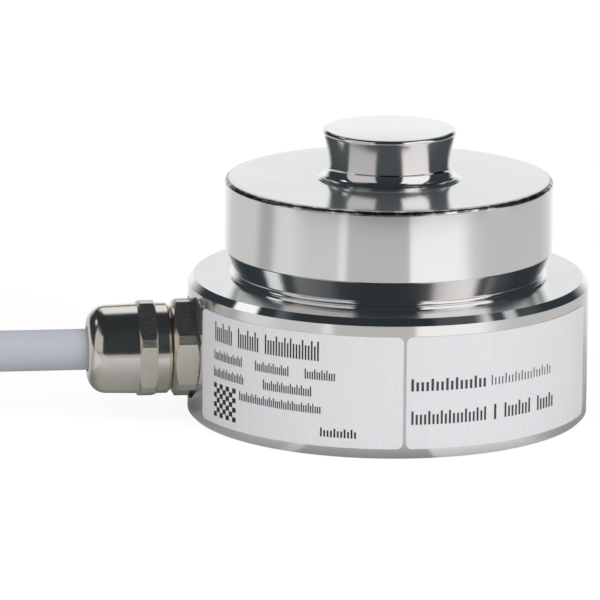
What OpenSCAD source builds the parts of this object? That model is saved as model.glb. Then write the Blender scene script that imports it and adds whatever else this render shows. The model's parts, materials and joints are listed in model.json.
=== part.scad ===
// Ring torsion load cell: a turned steel base with a labelled rim, a flanged load cap with a
// waisted button, and a side gland with a coiled measuring cable. Millimetres, +Z up.
// The origin is the centre of the seat under the base, and the gland points along -X.

/* [Base] */
// Outer diameter of the base
base_d = 60; // [58:0.5:66]
// Height of the base up to its top face
base_h = 20.8; // [20:0.1:24]
// Height of the bevel round the top of the base
base_bevel_h = 1; // [0.4:0.1:1.5]
// Width of the bevel round the top of the base
base_bevel_w = 0.85; // [0.4:0.05:1.2]
// Break of the lower outer edge of the base
base_foot_chamfer = 0.4; // [0.2:0.1:0.8]
// Diameter of the cavity above the ledge
cavity_d = 45; // [44.4:0.1:46]
// Height of the ledge that carries the measuring ring
ledge_h = 6; // [5.8:0.1:6.6]
// Diameter of the opening inside the ledge
ledge_bore_d = 37; // [36:0.5:39]

/* [Load cap] */
// Height of the load face above the seat
total_h = 43; // [42:0.5:47]
// Diameter of the disc
disc_d = 49; // [48:0.5:52]
// Height of the disc's underside above the base's top face
disc_gap = 4; // [3.5:0.1:5]
// Height of the load face above the disc's top face
button_h = 7.5; // [6:0.1:9]
// Width of the disc's upper edge break
disc_edge_w = 0.4; // [0.2:0.1:0.8]
// Height of the disc's upper edge break
disc_edge_h = 0.5; // [0.2:0.1:0.8]
// Diameter of the neck where it meets the seal ring
neck_d = 46.3; // [45.8:0.1:47.5]
// Diameter of the button at the load face
button_d = 20; // [18:0.5:24]
// Diameter of the button's waist
waist_d = 18.1; // [16:0.1:18.6]
// Radius of the fillet under the waist
waist_fillet = 1.15; // [0.8:0.05:1.6]
// Radius of the button's rounded rim
rim_round = 0.5; // [0.2:0.05:0.8]
// Height of the low sloped step round the button's foot
foot_step = 0.4; // [0.1:0.1:0.5]
// Width of the slope of that step
foot_slope_w = 0.65; // [0.2:0.05:1]
// Diameter of the hub that presses on the measuring ring
hub_d = 24; // [22:0.5:26]

/* [Seal ring] */
// Height of the seal ring between base and neck
seal_h = 1; // [0.8:0.1:1.4]
// Width of the seal ring's foot on the base
seal_foot_w = 1.2; // [1:0.1:1.4]

/* [Measuring ring] */
// Outer diameter of the measuring ring's body
ring_body_d = 38; // [37:0.5:38.4]
// Inner diameter of the measuring ring's body
ring_bore_d = 27; // [26.5:0.5:29]
// Height of the measuring ring's body
ring_body_h = 7; // [6:0.5:7.5]
// Thickness of the webs on both sides of the body
web_t = 2; // [1.5:0.1:2.5]
// Width of the outer rim that sits on the ledge
rim_w = 2; // [1.8:0.1:2.2]
// Width of the slot in the rim for the cable cores
core_slot_w = 6; // [5.5:0.5:7]
// Thickness of a strain gauge ring
gauge_t = 0.2; // [0.1:0.05:0.3]
// Width of a strain gauge ring
gauge_w = 1.5; // [1:0.1:2]

/* [Bottom cover and board] */
// Diameter of the bottom cover
cover_d = 41.8; // [41:0.1:43]
// Thickness of the bottom cover
cover_t = 1.1; // [0.8:0.1:1.2]
// Depth of the cover under the seat
cover_recess = 0.5; // [0.3:0.1:0.8]
// Height of the cover's bosses
boss_h = 2; // [1.5:0.1:2.2]
// Outer diameter of the wiring board
board_d = 34.8; // [33:0.2:35.6]
// Thickness of the wiring board
board_t = 1; // [0.8:0.1:1.2]
// Hole circle of the board's screws
board_screw_pcd = 24; // [22:0.5:26]

/* [Gland] */
// Height of the gland's axis above the seat
gland_z = 10.2; // [9.8:0.1:10.8]
// Distance of the gland's flat seat from the centre line
gland_seat = 28.5; // [27.8:0.1:28.8]
// Width across flats of the gland's body
body_af = 13; // [12.6:0.1:13.4]
// Width across flats of the dome nut
nut_af = 13.2; // [12.8:0.1:13.6]
// Diameter of the thread in the base
thread_d = 12; // [11.8:0.1:12.2]
// Diameter of the dome nut's rounded part
dome_d = 13.4; // [13:0.1:13.8]
// Length of the dome nut
nut_len = 12.1; // [11.6:0.1:13]
// Radius of the dome's rounded shoulder
dome_round = 2.7; // [2:0.1:3]
// Diameter of the hole in the dome
dome_hole_d = 6.8; // [6.6:0.1:7.2]

/* [Labels] */
// Height of a label
label_h = 17; // [14:0.5:17.5]
// Height of a label's lower edge above the seat
label_z = 1.4; // [1:0.1:2]
// Angle that a label covers
label_angle = 72; // [60:1:72]
// Radius of a label's corners
label_round = 0.8; // [0.3:0.1:1.5]
// Thickness of a label
label_t = 0.12; // [0.08:0.02:0.2]

/* [Cable] */
// Diameter of the cable
cable_d = 6.2; // [6:0.1:6.4]
// Diameter of one insulated core
core_d = 1; // [0.8:0.1:1.1]
// Height of the cable coil above its ties
coil_layers = 5; // [4:1:6]
// Turns side by side in one layer of the coil
coil_across = 4; // [3:1:5]

/* [Hidden] */
$fn = 96;

base_r = base_d / 2;
cavity_r = cavity_d / 2;
ledge_bore_r = ledge_bore_d / 2;
slide_gap = 0.05;
edge_break = 0.2;

disc_r = disc_d / 2;
disc_bottom = base_h + disc_gap;
disc_top = total_h - button_h;
cap_bottom = base_h + seal_h;
neck_r = neck_d / 2;
button_r = button_d / 2;
waist_r = waist_d / 2;
waist_z = disc_top + foot_step + waist_fillet;
hub_r = hub_d / 2;

rim_r = cavity_r - 2 * slide_gap;
rim_in_r = rim_r - rim_w;
ring_bottom = ledge_h + 2;
ring_top = ring_bottom + ring_body_h;
ring_out_r = ring_body_d / 2;
ring_in_r = ring_bore_d / 2;
hub_seat_z = ring_top + 2;
spigot_r = hub_r - 3;
wire_hole_r = (ring_out_r + rim_in_r) / 2;
wire_d = 0.5;
slot_undercut = 0.3;
gauge_edge = 0.5;

cover_top = cover_recess + cover_t;
cover_r = cover_d / 2;
board_z = cover_top + boss_h;
board_top = board_z + board_t;
board_r = board_d / 2;
board_hole_r = 5;
boss_r = 2;
screw_r = 0.95;
pad_r = 0.8;
pad_t = 0.2;
pad_circle_r = board_r - 1;
resistor_r = 0.8;
resistor_len = 4.4;
resistor_x = 8.2;
core_pad_y = [-2.1, -0.7, 0.7, 2.1];
wire_angles = [45, 135, 225, 315];

collar_t = 0.6;
collar_r = 6.9;
spot_r = 7.7;
body_hex_t = 3.9;
body_end = gland_seat + collar_t + body_hex_t;
shank_start = 23;
shank_bore_r = 3.6;
shank_r = thread_d / 2 - slide_gap;
o_ring_r = 0.4;
o_ring_seat_r = thread_d / 2 - 0.3;
sleeve_end = body_end + 6.4;
sleeve_r = 5.7;
seal_r = 4.6;
seal_start = body_end - 1.4;
seal_end = sleeve_end - 1;
claw_flange = 0.8;
claw_r = 4.8;
claw_end = sleeve_end + 4.6;
nut_start = body_end + 0.15;
nut_end = nut_start + nut_len;
nut_shoulder = sleeve_end + claw_flange + 2 * slide_gap;
nut_cone_start = nut_shoulder + 1.2;
nut_cone_end = nut_end - 0.7;
nut_cone_r = claw_r + 2 * slide_gap;
hex_band_start = nut_start + 2.05;
hex_band_end = hex_band_start + 2.7;
body_hex_angle = -3.7;
nut_hex_angle = -11.3;

label_glue = 0.02;
label_first_angle = -74.6;
label_second_angle = -2;
front = -90;

cable_r = cable_d / 2;
// The cable runs from inside the gland down to the surface and on to the coil: x and z.
cable_route = [
    [-26, 10.2], [-36, 10.2], [-46, 10.2], [-54, 10.2], [-61, 10.2], [-66, 10], [-70, 9.4],
    [-74, 8.4], [-78, 7.3], [-82, 6.1], [-86, 5], [-90, 4], [-94, 3.5], [-98, 3.2],
    [-103, 3.3], [-108, 3.6], [-114, 3.9],
];
coil_x = -114;
coil_outer_r = 48.5;
coil_y = coil_outer_r;
coil_step = 6.4;
layer_step = 6.25;
tie_t = 0.8;
tie_w = 4.8;
coil_z = tie_t;
coil_inner_r = coil_outer_r - (coil_across - 1) * coil_step;
coil_h = cable_d + (coil_layers - 1) * layer_step;
coil_top = coil_z + coil_h;
tie_angles = [20, 80, 140];
tie_span = 7;
// The cable's end climbs onto the coil along its innermost turn: angle back from the lead, and height.
tail_angles = [0, 10, 20, 30, 40, 50, 60, 66];
tail_rise = 66;
core_angles = [66, 70, 75, 80, 86, 92, 98, 104];
core_spread = 1.6;
ferrule_r = 0.7;
ferrule_len = 6;

function unit(v) = v / norm(v);

function heading(path, i) =
    unit(path[min(i + 1, len(path) - 1)] - path[max(i - 1, 0)]);

function tube_ring(path, i, r, sides, normal) =
    let (
        t = heading(path, i),
        u = unit(cross(normal, t)),
        v = cross(t, u)
    )
    [for (k = [0 : sides - 1]) path[i] + r * (cos(k * 360 / sides) * u + sin(k * 360 / sides) * v)];

// A tube swept along a path whose bends lie about in the plane that has this normal.
module swept_tube(path, r, sides, normal) {
    n = len(path);
    points = [for (i = [0 : n - 1]) each tube_ring(path, i, r, sides, normal)];
    sides_faces = [
        for (i = [0 : n - 2]) for (k = [0 : sides - 1])
            [i * sides + k, (i + 1) * sides + k, (i + 1) * sides + (k + 1) % sides, i * sides + (k + 1) % sides]
    ];
    start_face = [[for (k = [0 : sides - 1]) k]];
    end_face = [[for (k = [sides - 1 : -1 : 0]) (n - 1) * sides + k]];
    polyhedron(points = points, faces = concat(sides_faces, start_face, end_face), convexity = 4);
}

// Points of a round arc in a profile, from one angle to another.
function arc(cx, cy, r, from, to, steps) =
    [for (i = [0 : steps]) let (a = from + (to - from) * i / steps) [cx + r * cos(a), cy + r * sin(a)]];

// Turns a profile of distance along the gland's axis and radius round that axis.
module gland_turn(profile) {
    gland_frame() rotate_extrude() polygon([for (p = profile) [p[1], p[0]]]);
}

// Local Z runs out along the gland's axis, from the centre line of the base.
module gland_frame() {
    translate([0, 0, gland_z]) rotate([0, -90, 0]) children();
}

module base_housing() {
    color("silver") difference() {
        rotate_extrude() polygon([
            [ledge_bore_r, cover_top],
            [cover_r + slide_gap, cover_top],
            [cover_r + slide_gap, 0],
            [base_r - base_foot_chamfer, 0],
            [base_r, base_foot_chamfer],
            [base_r, base_h - base_bevel_h],
            [base_r - base_bevel_w, base_h],
            [cavity_r, base_h],
            [cavity_r, ledge_h],
            [ledge_bore_r, ledge_h],
        ]);
        gland_frame() {
            translate([0, 0, gland_seat]) cylinder(r = spot_r, h = 10);
            translate([0, 0, gland_seat - 2 * o_ring_r]) cylinder(r = o_ring_seat_r + 2 * o_ring_r, h = 5);
            translate([0, 0, ledge_bore_r]) cylinder(d = thread_d, h = base_r);
        }
    }
}

module load_cap() {
    crown_w = 1.4;
    crown_drop = 0.08;
    rim_lean = 13;
    flank_top_r = button_r - rim_round * (1 - cos(rim_lean));
    flank_top_z = total_h - rim_round * (1 + sin(rim_lean));
    color("silver") rotate_extrude() polygon(concat(
        [[0, total_h]],
        arc(button_r - rim_round, total_h - rim_round, rim_round, 90, -rim_lean, 8),
        [
            for (s = [0.875 : -0.125 : 0.125])
                [waist_r + (flank_top_r - waist_r) * (0.7 * s + 0.3 * s * s), waist_z + (flank_top_z - waist_z) * s]
        ],
        arc(waist_r + waist_fillet, waist_z, waist_fillet, 180, 270, 9),
        [
            [waist_r + waist_fillet + foot_slope_w, disc_top],
            [disc_r - disc_edge_w - crown_w, disc_top],
            [disc_r - disc_edge_w, disc_top - crown_drop],
            [disc_r, disc_top - crown_drop - disc_edge_h],
            [disc_r, disc_bottom + edge_break],
            [disc_r - edge_break, disc_bottom],
            [neck_r, cap_bottom],
            [hub_r, cap_bottom],
            [hub_r, hub_seat_z],
            [spigot_r - slide_gap, hub_seat_z],
            [spigot_r - slide_gap, ring_top - web_t],
            [0, ring_top - web_t],
        ]
    ));
}

module seal_ring() {
    seal_in_r = neck_r - 0.5;
    foot_r = seal_in_r + seal_foot_w;
    color("gainsboro") rotate_extrude() polygon(concat(
        [[seal_in_r, base_h], [foot_r, base_h]],
        arc(foot_r, cap_bottom, seal_h * 0.7, 260, 190, 6),
        [[neck_r, cap_bottom], [seal_in_r, cap_bottom]]
    ));
}

module torsion_ring() {
    color("lightsteelblue") difference() {
        rotate_extrude() polygon([
            [spigot_r, ring_top - web_t],
            [ring_in_r, ring_top - web_t],
            [ring_in_r, ring_bottom],
            [rim_in_r, ring_bottom],
            [rim_in_r, ledge_h],
            [rim_r, ledge_h],
            [rim_r, ring_bottom + web_t],
            [ring_out_r, ring_bottom + web_t],
            [ring_out_r, ring_top],
            [hub_r, ring_top],
            [hub_r, hub_seat_z],
            [spigot_r, hub_seat_z],
        ]);
        translate([-rim_r - 1, -core_slot_w / 2, ledge_h - 1])
            cube([rim_w + 1 + slot_undercut, core_slot_w, ring_bottom + web_t]);
        for (a = wire_angles)
            rotate(a) translate([wire_hole_r, 0, ring_bottom - 1]) cylinder(r = wire_d, h = web_t + 2);
    }
}

module gauge(inner_r, z) {
    color("goldenrod") translate([0, 0, z]) difference() {
        cylinder(r = inner_r + gauge_w, h = gauge_t);
        translate([0, 0, -1]) cylinder(r = inner_r, h = gauge_t + 2);
    }
}

module bottom_cover() {
    color("silver") difference() {
        union() {
            translate([0, 0, cover_recess]) cylinder(r = cover_r, h = cover_t);
            board_places() translate([0, 0, cover_top]) cylinder(r = boss_r, h = boss_h);
        }
        board_places() translate([0, 0, cover_recess + 0.5]) cylinder(r = screw_r + slide_gap, h = 5);
    }
}

module board_places() {
    for (a = [0, 120, 240])
        rotate(a) translate([board_screw_pcd / 2, 0, 0]) children();
}

module wiring_board() {
    color("darkgreen") difference() {
        translate([0, 0, board_z]) cylinder(r = board_r, h = board_t);
        translate([0, 0, board_z - 1]) cylinder(r = board_hole_r, h = board_t + 2);
        board_places() translate([0, 0, board_z - 1]) cylinder(r = screw_r + 0.15, h = board_t + 2);
    }
}

module board_screws() {
    color("dimgray") board_places() {
        translate([0, 0, cover_top]) cylinder(r = screw_r, h = board_top - cover_top);
        translate([0, 0, board_top]) cylinder(r = 1.8, h = 1.2);
    }
}

module trim_resistors() {
    color("tan") for (a = [60 : 60 : 300])
        rotate(a + 30) translate([resistor_x, -resistor_len / 2, board_top + resistor_r])
            rotate([-90, 0, 0]) cylinder(r = resistor_r, h = resistor_len);
}

module solder_pads() {
    color("gold") {
        for (y = core_pad_y) translate([-pad_circle_r, y * 1.3, board_top]) cylinder(r = pad_r, h = pad_t);
        for (a = wire_angles) rotate(a) translate([pad_circle_r, 0, board_top]) cylinder(r = pad_r, h = pad_t);
    }
}

// One wire from each strain gauge ring down to its pad on the board.
module bridge_wires() {
    top_z = ring_top + gauge_t + wire_d / 2;
    low_z = ring_bottom - gauge_t - wire_d / 2;
    pad_z = board_top + pad_t;
    over = ring_out_r - gauge_edge - gauge_w / 2;
    inner = ring_in_r + gauge_edge + gauge_w / 2;
    under = [[wire_hole_r, low_z], [ledge_bore_r - 0.5, low_z - 0.8], [pad_circle_r + 0.3, pad_z + 1.2]];
    down = [[pad_circle_r, pad_z + 0.6], [pad_circle_r, pad_z]];
    routes = [
        concat([[over, top_z], [ring_out_r, top_z + 0.3], [wire_hole_r, ring_top - 1]], under, down),
        concat([[over, low_z], [over - 0.2, low_z - 0.8], [pad_circle_r + 0.2, pad_z + 1.2]], down),
        concat([[inner, top_z], [ring_out_r, top_z + 0.8], [wire_hole_r, ring_top - 1]], under, down),
        concat([[inner, low_z], [inner + 0.8, low_z - 0.8], [pad_circle_r - 0.3, pad_z + 1.2]], down),
    ];
    color("orange") for (i = [0 : 3])
        rotate(wire_angles[i])
            swept_tube([for (p = routes[i]) [p[0], 0, p[1]]], wire_d / 2, 8, [0, 1, 0]);
}

// The four cores leave the cable inside the gland, pass the slot in the rim and reach their pads.
module inner_cores() {
    pad_z = board_top + pad_t;
    color("white") for (i = [0 : 3]) {
        y = core_pad_y[i];
        near_y = y * 0.8;
        swept_tube([
            [cable_route[0][0], near_y, gland_z],
            [-shank_start - 0.6, near_y, gland_z],
            [-shank_start, near_y, gland_z - 0.2],
            [-rim_r + 0.6, near_y, ring_bottom + 0.4],
            [-rim_in_r - 0.2, y, ledge_h + 0.8],
            [-ledge_bore_r + 0.5, y * 1.2, ledge_h + 0.7],
            [-pad_circle_r - 0.3, y * 1.3, pad_z + 1.1],
            [-pad_circle_r, y * 1.3, pad_z + 0.6],
            [-pad_circle_r, y * 1.3, pad_z],
        ], core_d / 2, 8, [0, 1, 0]);
    }
}

// A thin foil on the rim of the base, from one angle on, with rounded corners.
module label(start) {
    difference() {
        rotate(start + front) rotate_extrude(angle = label_angle)
            translate([base_r + label_glue, label_z]) square([label_t, label_h]);
        for (side = [0, 1]) for (top = [0, 1])
            rotate(start + front + side * label_angle)
                translate([base_r, 0, label_z + top * label_h])
                    mirror([0, side, 0]) mirror([0, 0, top]) corner_cut();
    }
}

// The stock outside a rounded corner, cut along the radius.
module corner_cut() {
    outside = -1;
    rotate([90, 0, 90]) translate([0, 0, -1]) linear_extrude(2) polygon(concat(
        [[outside, label_round], [outside, outside], [label_round, outside]],
        arc(label_round, label_round, label_round, 262, 188, 6)
    ));
}

module hex_prism(af, from, to, turn_angle) {
    gland_frame() translate([0, 0, from]) rotate(turn_angle) cylinder(d = af / cos(30), h = to - from, $fn = 6);
}

module gland_body() {
    collar_end = gland_seat + collar_t;
    color("silver") difference() {
        union() {
            gland_turn([
                [shank_start, 0],
                [shank_start, shank_r - 0.3],
                [shank_start + 0.3, shank_r],
                [gland_seat - 2 * o_ring_r, shank_r],
                [gland_seat - 2 * o_ring_r, o_ring_seat_r],
                [gland_seat, o_ring_seat_r],
                [gland_seat, collar_r],
                [collar_end, collar_r],
                [collar_end, sleeve_r],
                [sleeve_end, sleeve_r],
                [sleeve_end, 0],
            ]);
            intersection() {
                hex_prism(body_af, collar_end, body_end, body_hex_angle);
                gland_turn([
                    [collar_end, 0],
                    [collar_end, 7.2],
                    [collar_end + 0.25, 7.6],
                    [body_end - 0.9, 7.6],
                    [body_end, 6.1],
                    [body_end, 0],
                ]);
            }
        }
        gland_turn([
            [shank_start - 1, 0],
            [shank_start - 1, shank_bore_r],
            [seal_start, shank_bore_r],
            [seal_start, seal_r],
            [sleeve_end + 1, seal_r],
            [sleeve_end + 1, 0],
        ]);
    }
}

module gland_o_ring() {
    color("dimgray") gland_frame() translate([0, 0, gland_seat - o_ring_r])
        rotate_extrude() translate([o_ring_seat_r + o_ring_r, 0]) circle(r = o_ring_r, $fn = 24);
}

module gland_seal() {
    color("dimgray") gland_turn([
        [seal_start, cable_r], [seal_start, seal_r], [seal_end, seal_r], [seal_end, cable_r],
    ]);
}

// Radius of the dome nut's inner cone at a distance along the gland's axis.
function nut_cone(t) =
    let (share = (t - nut_cone_start) / (nut_cone_end - nut_cone_start))
    nut_cone_r + share * (dome_hole_d / 2 - nut_cone_r);

// The clamping cage: a flange on the sleeve's end and six fingers that the dome nut presses in.
module gland_claw() {
    flange_end = sleeve_end + claw_flange;
    color("ivory") difference() {
        gland_turn([
            [seal_end, cable_r],
            [seal_end, seal_r],
            [sleeve_end, seal_r],
            [sleeve_end, sleeve_r - 0.1],
            [flange_end, sleeve_r - 0.1],
            [flange_end, claw_r],
            [nut_cone_start, claw_r],
            [claw_end, nut_cone(claw_end) - 2 * slide_gap],
            [claw_end, cable_r],
        ]);
        gland_frame() for (a = [0 : 60 : 300])
            rotate(a) translate([cable_r - 1, -0.3, flange_end + 0.4]) cube([5, 0.6, 6]);
    }
}

module gland_nut() {
    skirt_r = dome_d / 2 - 0.1;
    color("silver") difference() {
        union() {
            gland_turn(concat(
                [
                    [nut_start, 0],
                    [nut_start, skirt_r - 0.3],
                    [nut_start + 0.3, skirt_r],
                    [hex_band_start, skirt_r],
                    [hex_band_end, dome_d / 2],
                ],
                [for (p = arc(nut_end - dome_round, dome_d / 2 - dome_round, dome_round, 90, 0, 10)) p],
                [
                    [nut_end, dome_hole_d / 2 + 0.3],
                    [nut_end - 0.3, dome_hole_d / 2],
                    [nut_end - 0.3, 0],
                ]
            ));
            intersection() {
                hex_prism(nut_af, hex_band_start, hex_band_end, nut_hex_angle);
                gland_turn([
                    [hex_band_start, 0],
                    [hex_band_start, 7.2],
                    [hex_band_start + 0.2, 7.5],
                    [hex_band_end - 0.2, 7.5],
                    [hex_band_end, 7.2],
                    [hex_band_end, 0],
                ]);
            }
        }
        gland_turn([
            [nut_start - 1, 0],
            [nut_start - 1, sleeve_r + slide_gap],
            [nut_shoulder, sleeve_r + slide_gap],
            [nut_shoulder, nut_cone_r],
            [nut_cone_start, nut_cone_r],
            [nut_cone_end, dome_hole_d / 2],
            [nut_end + 1, dome_hole_d / 2],
            [nut_end + 1, 0],
        ]);
    }
}

module cable_lead() {
    color("lightslategray")
        swept_tube([for (p = cable_route) [p[0], 0, p[1]]], cable_r, 12, [0, 1, 0]);
}

module cable_coil() {
    color("lightslategray") translate([coil_x, coil_y, coil_z]) rotate_extrude()
        translate([coil_inner_r, cable_r]) coil_section(cable_r);
}

// Flat bands closed round the coil, each with its small lock on the outside.
module coil_ties() {
    lock_h = 5.4;
    color("dimgray") translate([coil_x, coil_y, coil_z]) for (a = tie_angles) rotate(a) {
        rotate(-tie_span / 2) rotate_extrude(angle = tie_span) translate([coil_inner_r, cable_r]) difference() {
            coil_section(cable_r + tie_t);
            coil_section(cable_r);
        }
        translate([coil_outer_r + cable_r + tie_t / 2, -tie_w / 2, (coil_h - lock_h) / 2])
            cube([2.8, tie_w, lock_h]);
    }
}

// The coil's section, with its corners rounded by the radius of the cable or of the band round it.
module coil_section(round) {
    offset(r = round, $fn = 32)
        square([(coil_across - 1) * coil_step, coil_h - cable_d]);
}

// Places a point on the coil's innermost turn: angle back from the lead, offset outward, and height.
function on_inner_turn(a, out, z) =
    [
        coil_x + (coil_inner_r + out) * cos(front - a),
        coil_y + (coil_inner_r + out) * sin(front - a),
        z
    ];

function tail_z(a) =
    coil_top + cable_r - layer_step * (1 + cos(180 * min(a / tail_rise, 1))) / 2;

module cable_tail() {
    color("lightslategray")
        swept_tube([for (a = tail_angles) on_inner_turn(a, 0, tail_z(a))], cable_r, 12, [0, 0, 1]);
}

function core_drop(i, n) = (1 - cos(180 * min(2 * i / n, 1))) / 2;

// A stripped core fans out flat and settles on the coil; the four are numbered from 0 to 3.
module stripped_core(number) {
    n = len(core_angles) - 1;
    spread = (number - 1.5) * core_spread;
    start_z = tail_z(core_angles[0]);
    rest_z = coil_top + ferrule_r;
    path = [
        for (i = [0 : n])
            on_inner_turn(
                core_angles[i],
                spread * (0.75 + 0.25 * core_drop(i, n)),
                start_z + (rest_z - start_z) * core_drop(i, n)
            )
    ];
    swept_tube(path, core_d / 2, 8, [0, 0, 1]);
}

module core_ferrules() {
    last = core_angles[len(core_angles) - 1];
    rest_z = coil_top + ferrule_r;
    color("silver") for (number = [0 : 3]) {
        start = on_inner_turn(last, (number - 1.5) * core_spread, rest_z);
        along = unit(on_inner_turn(last, 0, rest_z) - on_inner_turn(core_angles[len(core_angles) - 2], 0, rest_z));
        swept_tube([start, start + along * ferrule_len / 2, start + along * ferrule_len], ferrule_r, 12, [0, 0, 1]);
    }
}

base_housing();
load_cap();
seal_ring();
torsion_ring();
gauge(ring_out_r - gauge_edge - gauge_w, ring_top);  // gauge_upper_outer
gauge(ring_in_r + gauge_edge, ring_top);  // gauge_upper_inner
gauge(ring_out_r - gauge_edge - gauge_w, ring_bottom - gauge_t);  // gauge_lower_outer
gauge(ring_in_r + gauge_edge, ring_bottom - gauge_t);  // gauge_lower_inner
bottom_cover();
wiring_board();
board_screws();
trim_resistors();
solder_pads();
bridge_wires();
inner_cores();
color("white") label(label_first_angle);  // label_data
color("white") label(label_second_angle);  // label_plate
gland_body();
gland_o_ring();
gland_seal();
gland_claw();
gland_nut();
cable_lead();
cable_coil();
coil_ties();
cable_tail();
color("black") stripped_core(0);  // core_black
color("blue") stripped_core(1);  // core_blue
color("red") stripped_core(2);  // core_red
color("white") stripped_core(3);  // core_white
core_ferrules();
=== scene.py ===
"""Looks of a ring torsion load cell: steel finishes, printed labels, gland and coiled cable."""
import json
import math

import bmesh
import bpy
from mathutils import Matrix, Vector


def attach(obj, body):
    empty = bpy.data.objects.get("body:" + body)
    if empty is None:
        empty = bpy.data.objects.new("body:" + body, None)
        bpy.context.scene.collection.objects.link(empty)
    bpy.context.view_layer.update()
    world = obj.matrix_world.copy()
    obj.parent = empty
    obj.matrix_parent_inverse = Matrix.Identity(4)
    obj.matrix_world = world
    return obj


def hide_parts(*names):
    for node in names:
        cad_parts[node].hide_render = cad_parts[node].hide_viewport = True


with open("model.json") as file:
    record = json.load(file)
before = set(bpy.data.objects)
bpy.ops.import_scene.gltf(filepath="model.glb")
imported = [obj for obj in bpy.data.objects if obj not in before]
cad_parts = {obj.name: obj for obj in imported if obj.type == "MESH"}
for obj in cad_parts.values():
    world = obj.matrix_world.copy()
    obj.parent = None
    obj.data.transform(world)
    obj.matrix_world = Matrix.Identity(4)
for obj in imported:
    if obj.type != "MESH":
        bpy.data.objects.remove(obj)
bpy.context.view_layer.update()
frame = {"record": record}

MM = 0.001

# The photograph's camera, from the fit of the base's and the cap's circles.
VIEW_AZIMUTH = math.radians(-7.3)
VIEW_ELEVATION = math.radians(13.305)
VIEW_ROLL = math.radians(0.388)
VIEW_DISTANCE = 0.799
VIEW_REACH = 20
AIM_HEIGHT = 20 * MM
AIM_RIGHT = -13.18 * MM
AIM_UP = -3.22 * MM
FOCAL_PER_WIDTH = 8.8915
SENSOR = 36.0
# The angle round Z that faces -Y, in degrees.
FRONT = -90.0

# Angles of the studio are in degrees: to the side from the camera's direction, right positive, and up.
# A pair says where a light or a shade starts and where it is full, three values both edges and their soft
# width.
# Soft boxes: left, right, low and high edge, soft edge, and colour.
SOFT_BOXES = [
    (-86, -27, 0, 42, 6, (0.55, 0.53, 0.52)),
    (-90, -50, 42, 52, 6, (0.10, 0.105, 0.11)),
    (44, 100, 50, 66, 10, (0.05, 0.055, 0.06)),
    (-116.5, -101.5, 34.5, 43.5, 2.5, (1.05, 1.07, 1.08)),
    (25, 81, 0, 46, 6, (1.0, 0.95, 0.94)),
    (42, 83, 46, 53, 6, (1.0, 0.95, 0.94)),
    (90, 114, 34, 50, 10, (0.035, 0.035, 0.035)),
    (92, 100, 43.5, 48, 3, (0.48, 0.5, 0.52)),
]
# The pale wall behind reaches up to this height and fades in towards the back.
WALL_HEIGHT = (23.0, 13.0)
WALL_SIDE = (138.0, 162.0)
# The light over the back fades in by how far behind a direction points, from 0 to 1, by side and by height.
OVERHEAD_BEHIND = (0.36, 0.54)
OVERHEAD_SIDE = (150.0, 166.0)
OVERHEAD_HEIGHT = (24.0, 34.0)
REAR_COLOUR = (0.94, 0.94, 0.94)
# The dark studio's own light: the colour low down fades into the one high up by this height.
DARK_HEIGHT = 80.0
LOW_DARK = (0.033, 0.046, 0.052)
HIGH_DARK = (0.025, 0.032, 0.038)
SKY_COLOUR = (1.0, 0.99, 0.98)
SKY_LIGHT = 0.5
WHITE = (1.0, 1.0, 1.0)

# The floor as polished metal mirrors it, with painted light and shade: its tone in front, and what it gains
# behind.
FRONT_TONE = 0.64
REAR_GAIN = 0.33
REAR_SIDE = (130.0, 160.0)
# Bands of painted light and painted shade on the mirrored floor: left and right edge, both soft edges, change
# of tone.
FLOOR_BANDS = [
    (-97, -83, 10, 8, -0.21),
    (-80, -60, 14, 16, 0.1),
    (-33, -28, 4, 2, 0.2),
    (-27, 12.6, 2, 1.5, -0.11),
    (13, 52, 2, 16, 0.36),
    (64, 126, 10, 10, -0.06),
]
# The far floor is dark beyond this reach in metres, but for the back and some patches: left and right
# edge, and share of light.
FAR_REACH = (0.2, 0.29)
FAR_LIT_SIDE = (118.0, 138.0)
FAR_PATCHES = [(-140, -66, 0.85), (-66, -20, 0.25), (20, 48, 0.3), (48, 66, 0.45), (66, 88, 1.0)]
FAR_SOFT = 10
# Shade beside the object, round its foot and under the gland: where it lies, in metres or degrees, and
# how deep it is.
BESIDE_REACH = (100 * MM, 60 * MM)
BESIDE_SIDE = (105, 132, 16)
BESIDE_SHADE = 0.2
FOOT_REACH = (42 * MM, 30 * MM)
FOOT_SIDE = (165.0, 140.0)
FOOT_SHADE = 0.44
GLAND_SHADE_X = (-58 * MM, -28 * MM, 12 * MM)
GLAND_SHADE_Y = (-22 * MM, 12 * MM, 26 * MM)
GLAND_SHADE = 0.5
FLOOR_HALF = 3.0
FLOOR_DROP = 0.01 * MM
FLOOR_COLOUR = (0.8, 0.8, 0.8)
FLOOR_GLOW = 1.12
GLOW_SHARE = 0.8

# Lamps: name, side, height and watts.
LAMPS = [("left_lamp", -60, 40, 2.0), ("right_lamp", 35, 40, 5.6)]
LAMP_DISTANCE = 1.2
LAMP_SIZE = 0.8

# The cap, in millimetres, from its load face down; leans and turns are in degrees.
CAP_TOP = 43.0
BUTTON_R = 10.0
RIM_ROUND = 0.5
RIM_LEAN = 18.0
RIM_STEPS = 16
FLANK_STEPS = 16
FLANK_STRAIGHT = 0.2
WAIST_R = 9.05
WAIST_Z = 37.75
WAIST_FOOT = (1.15, 1.85)
WAIST_FOOT_STEPS = 24
FOOT_EDGE_R = 10.85
DISC_TOP = 35.5
DISC_FLAT_R = 23.0
DISC_R = 24.5
DISC_ROUND = 0.65
DISC_ROUND_START = 84
DISC_STEPS = 14
DISC_BOTTOM = 25.0
DISC_BEVEL = 0.2
NECK_R = 23.15
CAP_BOTTOM = 21.8
HUB_R = 12.0
HUB_BOTTOM = 17.0
SPIGOT_R = 8.95
SPIGOT_BOTTOM = 13.0
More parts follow.
